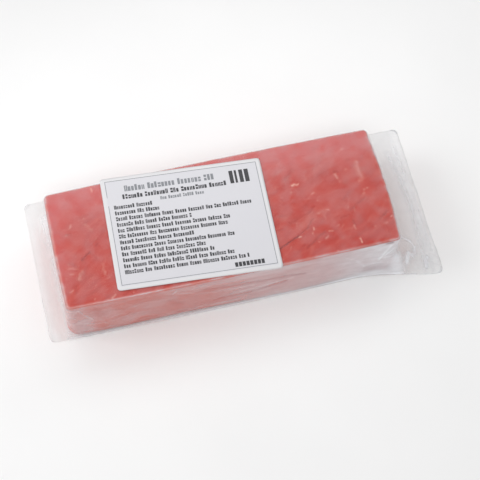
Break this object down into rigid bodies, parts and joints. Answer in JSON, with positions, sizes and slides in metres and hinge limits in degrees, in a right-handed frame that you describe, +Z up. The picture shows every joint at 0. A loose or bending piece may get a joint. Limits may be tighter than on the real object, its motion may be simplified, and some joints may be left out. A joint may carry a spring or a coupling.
{
  "type": "vacuum-packed frozen tuna fillet block",
  "caption": "Sawn block of frozen tuna fillet, sealed in a clear vacuum bag with loose film margins, with a rectangular paper label on top.",
  "frame": {"origin": "centre of the whole pack's bounding box, on the surface that it lies on", "axes": "+X along the block, towards the bag's long flap; +Y across it, to the side away from the nearer long side; +Z up through the label"},
  "size_m": [0.222, 0.0992, 0.0332],
  "materials": {
    "tuna_flesh": "satin",
    "clear_film": "gloss",
    "label_paper": "matte"
  },
  "bodies": {
    "root": {"tuna_fillet": "tuna_flesh", "vacuum_bag": "clear_film", "label": "label_paper"}
  },
  "joints": []
}
